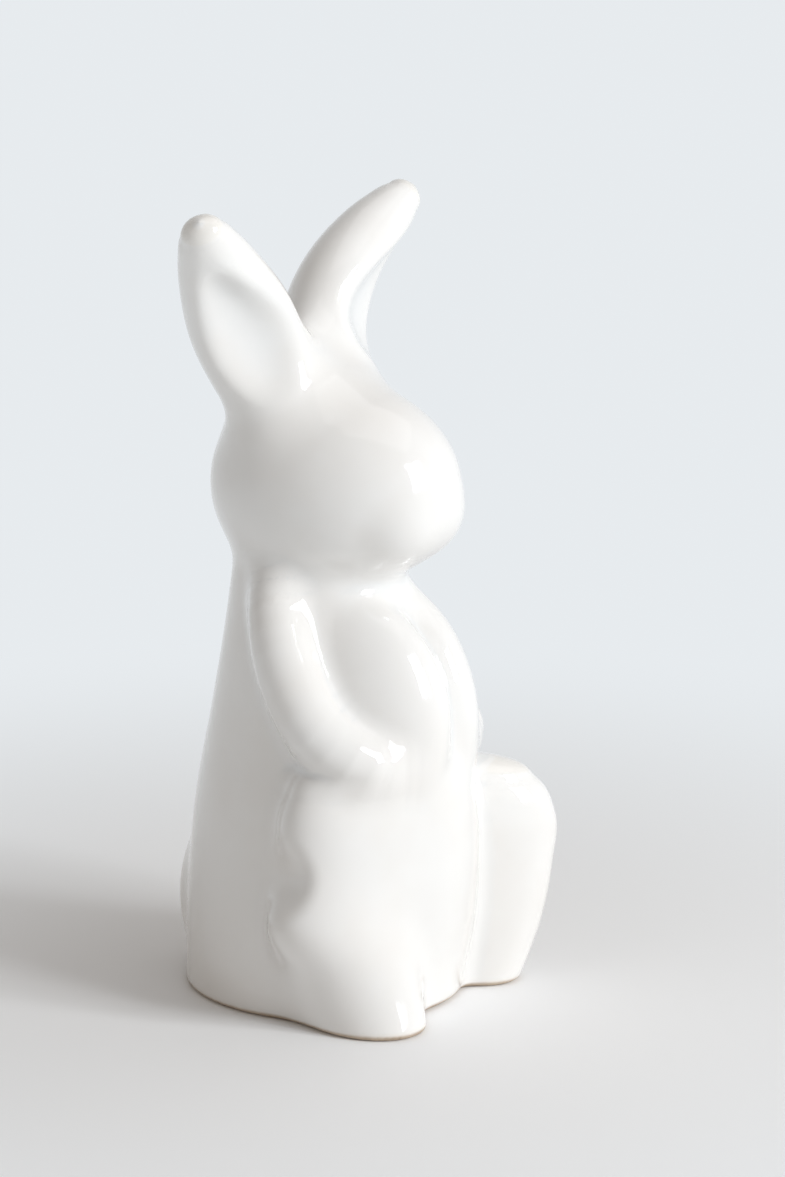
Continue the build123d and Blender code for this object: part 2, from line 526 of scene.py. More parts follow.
@dataclass
class Leg:
    """Hind leg in the right-hand sense: an upright stack of ovals that shift and turn with height."""

    height: float
    half_width: float
    half_length: float
    spread: float
    advance: float
    turn: float
    stations: tuple[float, ...]
    widths: tuple[float, ...]
    lengths: tuple[float, ...]
    spreads: tuple[float, ...]
    advances: tuple[float, ...]
    turns: tuple[float, ...]

    @classmethod
    def raised(cls, height: float) -> "Leg":
        """Leg of the given height whose knee is raised and points outwards."""
        return cls(
            height=height,
            half_width=8.6,
            half_length=15.6,
            spread=20.2,
            advance=17.6,
            turn=-30.0,
            stations=(0.0, 0.26, 0.50, 0.72, 0.88, 0.96, 1.0),
            widths=(0.95, 0.98, 0.96, 0.92, 0.76, 0.52, 0.12),
            lengths=(0.84, 0.94, 0.97, 0.97, 0.82, 0.56, 0.14),
            spreads=(0.79, 0.89, 0.96, 1.0, 0.98, 0.96, 0.95),
            advances=(0.94, 0.98, 1.01, 1.01, 0.95, 0.92, 0.90),
            turns=(0.0, 0.5, 0.85, 1.0, 1.0, 1.0, 1.0),
        )

    @classmethod
    def folded(cls, height: float) -> "Leg":
        """Leg of the given height whose thigh and shin are folded together against the body."""
        return cls(
            height=height,
            half_width=8.4,
            half_length=12.2,
            spread=18.6,
            advance=14.2,
            turn=56.0,
            stations=(0.0, 0.20, 0.41, 0.61, 0.88, 0.96, 1.0),
            widths=(1.07, 1.03, 0.97, 0.88, 0.70, 0.46, 0.12),
            lengths=(1.02, 0.93, 0.95, 0.95, 0.74, 0.50, 0.14),
            spreads=(0.82, 0.88, 1.0, 0.88, 0.86, 0.86, 0.86),
            advances=(1.22, 1.11, 0.98, 1.0, 0.95, 0.92, 0.91),
            turns=(-0.2, 0.38, 0.95, 1.0, 1.0, 1.0, 1.0),
        )

    def distance(self, points: Array) -> Array:
        """Distance of points to the leg.

        Args:
            points: Where the distance is wanted.

        Returns:
            The distances, negative inside.
        """
        share = np.clip(points[:, 2] / self.height, 0, 1)
        tables = (self.widths, self.lengths, self.spreads, self.advances, self.turns)
        shares = (Profile(self.stations, table).at(share) for table in tables)
        width, length, spread, advance, turned = shares
        side = points[:, 0] + self.spread * spread
        ahead = points[:, 1] + self.advance * advance
        turn = np.radians(self.turn) * turned
        across = np.cos(turn) * side + np.sin(turn) * ahead
        along = np.cos(turn) * ahead - np.sin(turn) * side
        above = np.maximum(points[:, 2] - self.height, 0)
        half_width = self.half_width * width
        half_length = self.half_length * length
        half_sizes = np.stack([half_width, half_length, np.sqrt(half_width * half_length)], axis=1)
        return oval(np.stack([across, along, above], axis=1), half_sizes)


@dataclass
class Tail:
    """Low round scut, part sunk in the back."""

    torso: Torso
    half_sizes: tuple[float, float, float] = (8.6, 6.4, 12.4)
    lift: float = 1.4
    sink: float = 3.2

    def distance(self, points: Array) -> Array:
        """Distance of points to the tail.

        Args:
            points: Where the distance is wanted.

        Returns:
            The distances, negative inside.
        """
        height = self.lift + self.half_sizes[2]
        back = self.torso.place(height, 0, -1)
        return oval(points - back + np.array((0, self.sink, 0)), np.array(self.half_sizes))


@dataclass
class Figure:
    """All the forms run together under one coat of glaze, in millimetres from the foot's middle."""

    torso: Torso
    head: Head
    right_ear: Ear
    left_ear: Ear
    arm: Arm
    folded_leg: Leg
    raised_leg: Leg
    tail: Tail
    tuck: float = 4.0
    dent_middle: tuple[float, float, float] = (-29.0, -6.5, 27.0)
    dent_half_sizes: tuple[float, float, float] = (4.6, 6.4, 4.8)
    dent_fillet: float = 4.0
    neck_fillet: float = 2.6
    ear_fillet: float = 7.0
    ear_valley: float = 14.0
    tail_fillet: float = 4.0
    folded_fillet: float = 5.0
    raised_fillet: float = 3.5
    arm_fillet: float = 4.2
    foot_fillet: float = 1.4

    @classmethod
    def of(cls, castings: Castings) -> "Figure":
        """Figure whose forms have the castings' sizes.

        Args:
            castings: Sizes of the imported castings.

        Returns:
            The figure.
        """
        torso = Torso(neck_height=castings.neck_height, foot_half_width=castings.foot_half_width)
        head = Head(radius=castings.head_radius, height=castings.head_height)
        root = head.ear_root()
        return cls(
            torso=torso,
            head=head,
            right_ear=Ear.right(root),
            left_ear=Ear.left(root),
            arm=Arm(torso),
            folded_leg=Leg.folded(castings.folded_height + cls.tuck),
            raised_leg=Leg.raised(castings.raised_height),
            tail=Tail(torso),
        )

    def ear(self, side: Side) -> Ear:
        """Ear on a side, in the right-hand sense."""
        return self.right_ear if side is Side.RIGHT else self.left_ear

    def leg(self, side: Side) -> Leg:
        """Leg on a side, in the right-hand sense."""
        return self.folded_leg if side is Side.RIGHT else self.raised_leg

    def distance(self, points: Array) -> Array:
        """Distance of points to the glazed surface.

        Args:
            points: Where the distance is wanted.

        Returns:
            The distances, negative inside.
        """
        folded = mirrored(points)
        whole = join(self.torso.distance(points), self.head.distance(points), self.neck_fillet)
        left_ear = self.left_ear.distance(flipped(points))
        ears = join(self.right_ear.distance(points), left_ear, self.ear_valley)
        whole = join(whole, ears, self.ear_fillet)
        whole = join(whole, self.tail.distance(points), self.tail_fillet)
        whole = join(whole, self.folded_leg.distance(points), self.folded_fillet)
        dent = oval(points - np.array(self.dent_middle), np.array(self.dent_half_sizes))
        whole = carve(whole, dent, self.dent_fillet)
        whole = join(whole, self.raised_leg.distance(flipped(points)), self.raised_fillet)
        whole = join(whole, self.arm.distance(folded), self.arm_fillet)
        return -join(-whole, points[:, 2], self.foot_fillet)


# Turning the glazed surface into meshes

@dataclass
class Skin:
    """Triangles of the glazed surface, each labelled with the casting that it covers."""

    surface: Field
    pitch: float = 0.8
    snap_share: float = 0.25
    bed_rings: int = 6
    lowest_bed: float = 0.1
    wall_rings: int = 12
    points: Array = field(default_factory=lambda: np.empty((0, 3)))
    triangles: Array = field(default_factory=lambda: np.empty((0, 3), int))
    labels: Array = field(default_factory=lambda: np.empty(0, int))

    def grow(self, low: Array, high: Array) -> None:
        """Mesh the surface inside a box.

        Args:
            low: The box's lowest corner.
            high: Its highest corner.
        """
        counts = np.ceil((high - low) / self.pitch).astype(int) + 1
        axes = [low[axis] + self.pitch * np.arange(counts[axis]) for axis in range(3)]
        layers = [np.stack(np.meshgrid(*axes[:2], [level], indexing="ij"), axis=-1) for level in axes[2]]
        sheets = [self.surface(layer.reshape(-1, 3)).reshape(counts[:2]) for layer in layers]
        values = np.stack(sheets, axis=2)
        cells, index = self.crossed_cells(values)
        self.points = low + self.pitch * cells
        quads = self.quads_between(values < 0, index)
        self.even_out(quads)
        self.triangles = np.concatenate([quads[:, [0, 1, 2]], quads[:, [0, 2, 3]]])
        self.labels = np.zeros(len(self.triangles), int)

    @staticmethod
    def crossed_cells(values: Array) -> tuple[Array, Array]:
        """Grid cells that the surface passes through.

        Args:
            values: Distances on the grid.

        Returns:
            Mean crossing point of each such cell, in cells, and the cell's number on the grid.
        """
        shape = np.array(values.shape) - 1
        corners = [np.array((i, j, k)) for i in (0, 1) for j in (0, 1) for k in (0, 1)]
        windows = [tuple(slice(c, c + n) for c, n in zip(corner, shape)) for corner in corners]
        inside = sum((values[window] < 0).astype(np.int8) for window in windows)
        crossed = (inside > 0) & (inside < 8)
        index = np.full(crossed.shape, -1)
        index[crossed] = np.arange(crossed.sum())
        held = {tuple(corner): values[window][crossed] for corner, window in zip(corners, windows)}
        total = np.zeros((crossed.sum(), 3))
        hits = np.zeros(crossed.sum())
        for corner in corners:
            for axis in np.flatnonzero(corner == 0):
                other = corner.copy()
                other[axis] = 1
                first, second = held[tuple(corner)], held[tuple(other)]
                hit = (first < 0) != (second < 0)
                share = np.where(hit, first / np.where(hit, first - second, 1), 0)
                total += hit[:, None] * (corner + share[:, None] * (other - corner))
                hits += hit
        return np.argwhere(crossed) + total / hits[:, None], index

    @staticmethod
    def quads_between(inside: Array, index: Array) -> Array:
        """Quads of four cells round each grid edge that the surface crosses.

        Args:
            inside: Which grid points lie inside the figure.
            index: Number of each crossed cell.

        Returns:
            Four cell numbers for each quad, turned outwards.
        """
        quads = []
        for axis in range(3):
            first, second = [other for other in range(3) if other != axis]
            start = [slice(1, -1)] * 3
            end = [slice(1, -1)] * 3
            start[axis], end[axis] = slice(0, -1), slice(1, None)
            hit = np.argwhere(inside[tuple(start)] != inside[tuple(end)])
            leaves = inside[tuple(start)][tuple(hit.T)]
            ring = []
            for back_first, back_second in ((0, 0), (1, 0), (1, 1), (0, 1)):
                cell = hit.copy()
                cell[:, first] += back_first
                cell[:, second] += back_second
                ring.append(index[tuple(cell.T)])
            quad = np.stack(ring, axis=1)
            turned_over = leaves if axis == 1 else ~leaves
            quad[turned_over] = quad[turned_over][:, ::-1]
            quads.append(quad)
        return np.concatenate(quads)

    def even_out(self, quads: Array, rounds: int = 3, share: float = 0.6) -> None:
        """Settle the points on the surface, evenly spread.

        Args:
            quads: Faces between the points.
            rounds: How often they are spread.
            share: How far a point moves towards its neighbours' middle.
        """
        self.points = drop_onto(self.surface, self.points)
        for _ in range(rounds):
            total = np.zeros_like(self.points)
            count = np.zeros(len(self.points))
            for corner in range(4):
                for other in (corner - 1, (corner + 1) % 4):
                    np.add.at(total, quads[:, corner], self.points[quads[:, other]])
                    np.add.at(count, quads[:, corner], 1)
            move = total / count[:, None] - self.points
            normal = self.normals(self.points)
            move -= (move * normal).sum(axis=1)[:, None] * normal
            self.points = drop_onto(self.surface, self.points + share * move)

    def normals(self, points: Array) -> Array:
        """Outward directions of the surface at points."""
        slope = gradient(self.surface, points)
        return slope / np.linalg.norm(slope, axis=1)[:, None]

    def part(self, label: int, seam: Field, among: int) -> None:
        """Give a label to the triangles on the negative side of a seam, and cut those that it crosses.

        Args:
            label: Number of the casting there.
            seam: Field that is zero along the seam.
            among: Label that the triangles have so far.
        """
        mine = self.labels == among
        values = np.ones(len(self.points))
        near = np.unique(self.triangles[mine])
        values[near] = seam(self.points[near])
        shared = np.unique(self.triangles[~mine])
        close = np.setdiff1d(near[np.abs(values[near]) < self.snap_share * self.pitch], shared)
        moved = drop_onto(self.surface, drop_onto(seam, self.points[close]), 1)
        still = np.linalg.norm(moved - self.points[close], axis=1) < self.pitch / 2
        self.points[close[still]] = moved[still]
        values[close[still]] = 0
        sides = np.sign(values)[self.triangles]
        below, above = sides.min(axis=1) < 0, sides.max(axis=1) > 0
        self.labels[mine & below & ~above] = label
        crossed = mine & below & above
        crossings = self.crossings(self.triangles[crossed], values)
        ends = np.unique(np.array(list(crossings), int))
        touched = crossed | (~mine & (np.isin(self.triangles, ends).sum(axis=1) > 1))
        old = zip(self.triangles[touched].tolist(), self.labels[touched].tolist())
        self.triangles, self.labels = self.triangles[~touched], self.labels[~touched]
        fresh: dict[int, list[list[int]]] = {}
        for triangle, number in old:
            for side, polygon in self.sides_of(triangle, values, crossings, number == among).items():
                kept = fresh.setdefault(label if side < 0 else number, [])
                kept.extend([polygon[0], *pair] for pair in zip(polygon[1:], polygon[2:]))
        for number, triangles in fresh.items():
            self.add(triangles, number)

    def crossings(self, triangles: Array, values: Array) -> dict[tuple[int, int], int]:
        """Points where the zero line of values crosses the edges of triangles.

        Args:
            triangles: Triangles that the line crosses.
            values: One value for each point of the skin.

        Returns:
            Number of the new point on each crossed edge.
        """
        edges = np.concatenate([triangles[:, [0, 1]], triangles[:, [1, 2]], triangles[:, [2, 0]]])
        edges = np.unique(np.sort(edges, axis=1), axis=0)
        edges = edges[values[edges[:, 0]] * values[edges[:, 1]] < 0]
        start, end = values[edges[:, 0]], values[edges[:, 1]]
        share = (start / (start - end))[:, None]
        points = self.points[edges[:, 0]] * (1 - share) + self.points[edges[:, 1]] * share
        first = self.append(drop_onto(self.surface, points, 1))
        return {(a, b): first + number for number, (a, b) in enumerate(edges.tolist())}

    @staticmethod
    def sides_of(
        triangle: list[int], values: Array, crossings: dict[tuple[int, int], int], parted: bool
    ) -> dict[int, list[int]]:
        """Outlines of a triangle that crossed edges divide.

        Args:
            triangle: Its three points.
            values: One value for each point of the skin.
            crossings: Number of the new point on each crossed edge.
            parted: Whether the triangle is parted there, or only takes the new points into its outline.

        Returns:
            Outline on the negative side and on the positive side, or the whole as positive.
        """
        outlines: dict[int, list[int]] = {-1: [], 1: []} if parted else {1: []}
        for here, there in zip(triangle, triangle[1:] + triangle[:1]):
            for side, outline in outlines.items():
                if not parted or values[here] * side >= 0:
                    outline.append(here)
                if (min(here, there), max(here, there)) in crossings:
                    outline.append(crossings[min(here, there), max(here, there)])
        return outlines

    def rims(self, labels: tuple[int, ...]) -> list[list[int]]:
        """Closed rows of points round the edge of some castings, in the order of their triangles.

        Args:
            labels: Numbers of the castings.

        Returns:
            One row for each edge.
        """
        triangles = self.triangles[np.isin(self.labels, labels)]
        edges = np.concatenate([triangles[:, [0, 1]], triangles[:, [1, 2]], triangles[:, [2, 0]]])
        known = set(map(tuple, edges.tolist()))
        following: dict[int, list[int]] = {}
        for start, end in sorted(known):
            if (end, start) not in known:
                following.setdefault(start, []).append(end)
        rows = []
        while following:
            start = here = next(iter(following))
            row = []
            while not row or here != start:
                row.append(here)
                ends = following[here]
                here = ends.pop()
                if not ends:
                    del following[row[-1]]
            rows.append(row)
        return rows

    def add(self, triangles: list[list[int]], label: int) -> None:
        """Add triangles of the skin's points under a label."""
        if triangles:
            self.triangles = np.concatenate([self.triangles, np.array(triangles)])
            self.labels = np.concatenate([self.labels, np.full(len(triangles), label)])

    def append(self, points: Array) -> int:
        """Add points, and give the number of the first."""
        first = len(self.points)
        self.points = np.concatenate([self.points, points])
        return first

    def rings_from(self, row: list[int], rings: list[Array], tip: Array) -> list[list[int]]:
        """Triangles from an open edge over rings of as many points to a tip.

        Args:
            row: Points along the edge, in the order of its triangles.
            rings: Places of the rings, from the edge inwards.
            tip: Place that closes the last ring.

        Returns:
            The triangles, turned as those along the edge.
        """
        count = len(row)
        triangles = []
        for ring in rings:
            first = self.append(ring)
            inner = list(range(first, first + count))
            for here in range(count):
                there = (here + 1) % count
                triangles.append([row[there], row[here], inner[here]])
                triangles.append([row[there], inner[here], inner[there]])
            row = inner
        last = self.append(tip[None])
        triangles.extend([row[(here + 1) % count], row[here], last] for here in range(count))
        return triangles

    def close(self, label: int, host: int, covered: tuple[int, ...], bed: Field) -> None:
        """Close a casting where it is luted on, and its host with the same face.

        Args:
            label: Number of the casting.
            host: Number of the casting that it is luted to.
            covered: Castings whose outer edge is closed, this one and those luted to it.
            bed: Field that is zero on the face that the two share.
        """
        for row in self.rims(covered):
            edge = self.points[row]
            middle = edge.mean(axis=0)
            shares = np.arange(1, self.bed_rings) / self.bed_rings
            rings = [drop_onto(bed, edge + (middle - edge) * share) for share in shares]
            for ring in rings:
                ring[:, 2] = np.maximum(ring[:, 2], self.lowest_bed)
            triangles = self.rings_from(row, rings, drop_onto(bed, middle[None])[0])
            self.add(triangles, label)
            self.add([triangle[::-1] for triangle in triangles], host)

    def line_foot(self, torso: Torso, label: int) -> None:
        """Open the foot, and line the torso with the casting's inner wall.

        Args:
            torso: The torso's form.
            label: Its number.
        """
        levels = np.linspace(0, torso.neck_height - torso.wall, self.wall_rings)
        widths, depths, middles = torso.section(levels)
        inner = np.stack([widths - torso.wall, depths - torso.wall], axis=1)
        centre = np.array((0, middles[0]))

        def mouth(points: Array) -> Array:
            """Field of the foot's opening, zero along its rim."""
            flat = oval(points[:, :2] - centre, inner[0])
            return np.where(points[:, 2] < self.lowest_bed, flat, 1)

        dropped = -1
        self.part(dropped, mouth, label)
        kept = self.labels != dropped
        self.triangles, self.labels = self.triangles[kept], self.labels[kept]
        row = self.rims(tuple(np.unique(self.labels)))[0]
        start = (self.points[row][:, :2] - centre) / inner[0]
        rings = []
        for level, half_sizes, middle in zip(levels[1:], inner[1:], middles[1:]):
            flat = start * half_sizes + np.array((0, middle))
            rings.append(np.column_stack([flat, np.full(len(row), level)]))
        self.add(self.rings_from(row, rings, rings[-1].mean(axis=0)), label)

    def creases(self, points: Array, reach: float) -> Array:
        """How hollow the surface is.

        Args:
            points: Where it is wanted.
            reach: How far around each point the surface is felt.

        Returns:
            Turns per millimetre, below zero where the surface stands out.
        """
        total = -6 * self.surface(points)
        for axis in range(3):
            shift = np.zeros(3)
            shift[axis] = reach
            total += self.surface(points + shift) + self.surface(points - shift)
        return -total / reach ** 2


@dataclass(frozen=True)
class Lute:
    """One casting's place in the glazed figure."""

    node: str
    seam: Field
    bed: Field
    host: str = "torso_shell"
    carried: tuple[str, ...] = ()


@dataclass
class GlazedFigure:
    """The figure's glazed castings as separate meshes that meet along their luted seams."""

    figure: Figure
    offset: Array
    skin: Skin
    margin: float = 2.5
    crease_reach: float = 0.7

    def lutes(self) -> list[Lute]:
        """Castings in the order in which they are parted from the torso.

        Returns:
            One place for each casting but the torso.
        """
        figure = self.figure
        torso, head = figure.torso.distance, figure.head.distance
        lutes = []
        for side in Side:
            name = side.name.lower()

            def here(points: Array, sign: int = side.value) -> Array:
                """Points turned over to the right side, for a casting on this side."""
                return points * np.array((-sign, 1, 1))

            def ear(points: Array, turn: Field = here, own_ear: Ear = figure.ear(side)) -> Array:
                """Seam between this ear and the head."""
                placed = turn(points)
                return np.maximum(own_ear.distance(placed) - head(points), placed[:, 0])

            def arm(points: Array, turn: Field = here, own_leg: Leg = figure.leg(side)) -> Array:
                """Seam between this arm and its neighbours."""
                placed = turn(points)
                rest = np.minimum(np.minimum(torso(points), head(points)), own_leg.distance(placed))
                return np.maximum(figure.arm.distance(placed) - rest, placed[:, 0])

            def leg(points: Array, turn: Field = here, own_leg: Leg = figure.leg(side)) -> Array:
                """Seam between this leg and the torso."""
                placed = turn(points)
                own = own_leg.distance(placed) - torso(points)
                return np.maximum(np.maximum(own, -torso(points)), placed[:, 0])

            def arm_bed(points: Array, turn: Field = here) -> Array:
                """Face that this arm shares with the torso and the other arm."""
                return np.minimum(torso(points), -turn(points)[:, 0])

            lutes.append(Lute(f"ear_{name}", ear, head, "head_shell"))
            lutes.append(Lute(f"arm_{name}", arm, arm_bed))
            lutes.append(Lute(f"leg_{name}", leg, torso))

        def neck(points: Array) -> Array:
            """Seam between the head and the torso."""
            return head(points) - torso(points)

        def scut(points: Array) -> Array:
            """Seam between the tail and the torso."""
            own = figure.tail.distance(points) - torso(points)
            return np.maximum(own, -torso(points))

        lutes.append(Lute("tail", scut, torso))
        lutes.append(Lute("head_shell", neck, torso, carried=("ear_right", "ear_left")))
        return lutes

    def build(self) -> dict[str, bpy.types.Object]:
        """Mesh the figure and part it into its castings.

        Returns:
            The piece for each casting's node.
        """
        low = np.array([corner / MILLIMETRE for corner in CAD_BOX[0]]) - self.offset - self.margin
        high = np.array([corner / MILLIMETRE for corner in CAD_BOX[1]]) - self.offset + self.margin
        self.skin.grow(low, high)
        lutes = self.lutes()
        numbers = {"torso_shell": 0} | {lute.node: number for number, lute in enumerate(lutes, start=1)}
        for lute in lutes:
            self.skin.part(numbers[lute.node], lute.seam, numbers["torso_shell"])
        for lute in lutes:
            covered = tuple(numbers[node] for node in (lute.node, *lute.carried))
            self.skin.close(numbers[lute.node], numbers[lute.host], covered, lute.bed)
        self.skin.line_foot(self.figure.torso, numbers["torso_shell"])
        normals = self.skin.normals(self.skin.points)
        creases = self.skin.creases(self.skin.points, self.crease_reach)
        return {node: self.piece(node, number, normals, creases) for node, number in numbers.items()}

    def piece(self, node: str, number: int, normals: Array, creases: Array) -> bpy.types.Object:
        """Blender piece for one casting.

        Args:
            node: The casting's node.
            number: Its label on the skin.
            normals: Outward directions at the skin's points.
            creases: How hollow the skin is at its points.

        Returns:
            The piece, which stands for the node.
        """
        triangles = self.skin.triangles[self.skin.labels == number]
        used, triangles = np.unique(triangles, return_inverse=True)
        triangles = triangles.reshape(-1, 3)
        points = (self.skin.points[used] + self.offset) * MILLIMETRE
        mesh = bpy.data.meshes.new(f"glazed_{node}")
        mesh.from_pydata(points.tolist(), [], triangles.tolist())
        mesh.polygons.foreach_set("use_smooth", np.ones(len(triangles), bool))
        attribute = mesh.attributes.new("crease", "FLOAT", "POINT")
        attribute.data.foreach_set("value", creases[used].astype(np.float32))
        mesh.normals_split_custom_set_from_vertices(normals[used].tolist())
        piece = bpy.data.objects.new(f"glazed_{node}", mesh)
        bpy.context.scene.collection.objects.link(piece)
        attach(piece, BODY)
        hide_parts(node)
        log.info("%s: %d points, %d triangles", piece.name, len(points), len(triangles))
        return piece


# Finishes

Socket = bpy.types.NodeSocket


@dataclass
class NodeBench:
    """A node tree that nodes are laid out in."""

    tree: bpy.types.NodeTree

    def add(
        self, kind: str, inputs: dict[str | int, object] | None = None, **settings: object
    ) -> bpy.types.Node:
        """Add a node.

        Args:
            kind: The node's type.
            inputs: Values or sockets for its inputs, by name or number.
            **settings: The node's own properties.

        Returns:
            The node.
        """
        node = self.tree.nodes.new(kind)
        for name, value in settings.items():
            setattr(node, name, value)
        for name, value in (inputs or {}).items():
            if isinstance(value, bpy.types.NodeSocket):
                self.tree.links.new(value, node.inputs[name])
            else:
                node.inputs[name].default_value = value
        return node

    def math(self, operation: str, first: object, second: object, third: object = 0.0) -> Socket:
        """Result of a sum on values or sockets."""
        return self.add("ShaderNodeMath", {0: first, 1: second, 2: third}, operation=operation).outputs[0]

    def ramp(
        self, value: Socket, low: float, high: float, to_low: float = 0.0, to_high: float = 1.0
    ) -> Socket:
        """Value taken smoothly from one range to another, and held at its ends.

        Args:
            value: Socket that gives the value.
            low: Start of its range.
            high: End of its range.
            to_low: What the start becomes.
            to_high: What the end becomes.

        Returns:
            Socket with the new value.
        """
        inputs = {"Value": value, "From Min": low, "From Max": high, "To Min": to_low, "To Max": to_high}
        return self.add("ShaderNodeMapRange", inputs, interpolation_type="SMOOTHSTEP").outputs[0]

    def mix(self, share: object, first: object, second: object) -> Socket:
        """Colour mixed from two.

        Args:
            share: How much of the second colour there is, as a value or a socket.
            first: The one colour or its socket.
            second: The other colour or its socket.

        Returns:
            Socket with the mixed colour.
        """
        node = self.add("ShaderNodeMix", data_type="RGBA")
        for index, value in ((0, share), (6, first), (7, second)):
            if isinstance(value, bpy.types.NodeSocket):
                self.tree.links.new(value, node.inputs[index])
            else:
                node.inputs[index].default_value = value
        return node.outputs[2]


def colour(red: float, green: float, blue: float) -> tuple[float, float, float, float]:
    """Solid colour from its three shares."""
    return red, green, blue, 1.0


class KilnMottle:
    """Shader group: the unevenness that firing leaves in glaze and clay alike."""

    name = "kiln_mottle"
    cloud_detail = 3.0
    cloud_roughness = 0.55
    grain_detail = 4.0
    grain_roughness = 0.6
    speck_span = (0.10, 0.16)

    @classmethod
    def group(cls) -> bpy.types.NodeTree:
        """The group, built once.

        Returns:
            The group with inputs Cloud Scale and Grain Scale, and outputs Clouds, Grain and Specks.
        """
        if cls.name in bpy.data.node_groups:
            return bpy.data.node_groups[cls.name]
        tree = bpy.data.node_groups.new(cls.name, "ShaderNodeTree")
        for name in ("Cloud Scale", "Grain Scale"):
            tree.interface.new_socket(name, in_out="INPUT", socket_type="NodeSocketFloat")
        for name in ("Clouds", "Grain", "Specks"):
            tree.interface.new_socket(name, in_out="OUTPUT", socket_type="NodeSocketFloat")
        bench = NodeBench(tree)
        given = bench.add("NodeGroupInput").outputs
        place = bench.add("ShaderNodeTexCoord").outputs["Object"]
        coarse = {"Vector": place, "Scale": given["Cloud Scale"]}
        fine = {"Vector": place, "Scale": given["Grain Scale"]}
        cloud_inputs = coarse | {"Detail": cls.cloud_detail, "Roughness": cls.cloud_roughness}
        grain_inputs = fine | {"Detail": cls.grain_detail, "Roughness": cls.grain_roughness}
        clouds = bench.add("ShaderNodeTexNoise", cloud_inputs).outputs[0]
        grain = bench.add("ShaderNodeTexNoise", grain_inputs).outputs[0]
        cells = bench.add("ShaderNodeTexVoronoi", fine).outputs["Distance"]
        specks = bench.ramp(cells, *cls.speck_span, to_low=1.0, to_high=0.0)
        bench.add("NodeGroupOutput", {"Clouds": clouds, "Grain": grain, "Specks": specks})
        return tree

    @classmethod
    def place(
        cls, bench: NodeBench, cloud_scale: float, grain_scale: float
    ) -> bpy.types.bpy_prop_collection:
        """Place the group in a material.

        Args:
            bench: The material's node tree.
            cloud_scale: Scale of the clouds there.
            grain_scale: Scale of the grain and the specks there.

        Returns:
            The group's outputs.
        """
        node = bench.add("ShaderNodeGroup", node_tree=cls.group())
        node.inputs["Cloud Scale"].default_value = cloud_scale
        node.inputs["Grain Scale"].default_value = grain_scale
        return node.outputs


@dataclass(frozen=True)
class ClayFinish:
    """Unglazed fired clay: warm, matt and gritty."""

    name: str = "bare_clay"
    pale: tuple[float, float, float, float] = colour(0.62, 0.52, 0.41)
    deep: tuple[float, float, float, float] = colour(0.47, 0.37, 0.28)
    grit: tuple[float, float, float, float] = colour(0.30, 0.22, 0.16)
    cloud_scale: float = 90.0
    grain_scale: float = 900.0
    relief: float = 0.00008
    relief_strength: float = 0.8
    cloud_span: tuple[float, float] = (0.3, 0.7)
    grain_span: tuple[float, float] = (0.35, 0.65)
    grain_share: float = 0.35
    grit_share: float = 0.5
    roughness_span: tuple[float, float] = (0.70, 0.92)

    def colours(self, bench: NodeBench) -> tuple[Socket, Socket]:
        """Colour and grain of the clay.

        Args:
            bench: Node tree of the material that the clay shows in.

        Returns:
            Sockets with the colour and with the grain's height.
        """
        mottle = KilnMottle.place(bench, self.cloud_scale, self.grain_scale)
        body = bench.mix(bench.ramp(mottle["Clouds"], *self.cloud_span), self.deep, self.pale)
        grain = bench.ramp(mottle["Grain"], *self.grain_span)
        body = bench.mix(bench.math("MULTIPLY", grain, self.grain_share), body, self.deep)
        grit = bench.math("MULTIPLY", mottle["Specks"], self.grit_share)
        return bench.mix(grit, body, self.grit), mottle["Grain"]

    def material(self) -> bpy.types.Material:
        """Dress for a piece of bare clay.

        Returns:
            The material.
        """
        material = bpy.data.materials.new(self.name)
        material.use_nodes = True
        bench = NodeBench(material.node_tree)
        shader = material.node_tree.nodes["Principled BSDF"]
        body, grain = self.colours(bench)
        links = material.node_tree.links
        links.new(body, shader.inputs["Base Color"])
        matt = bench.ramp(grain, *self.cloud_span, *self.roughness_span)
        links.new(matt, shader.inputs["Roughness"])
        relief = {"Height": grain, "Distance": self.relief, "Strength": self.relief_strength}
        bump = bench.add("ShaderNodeBump", relief)
        links.new(bump.outputs[0], shader.inputs["Normal"])
        return material


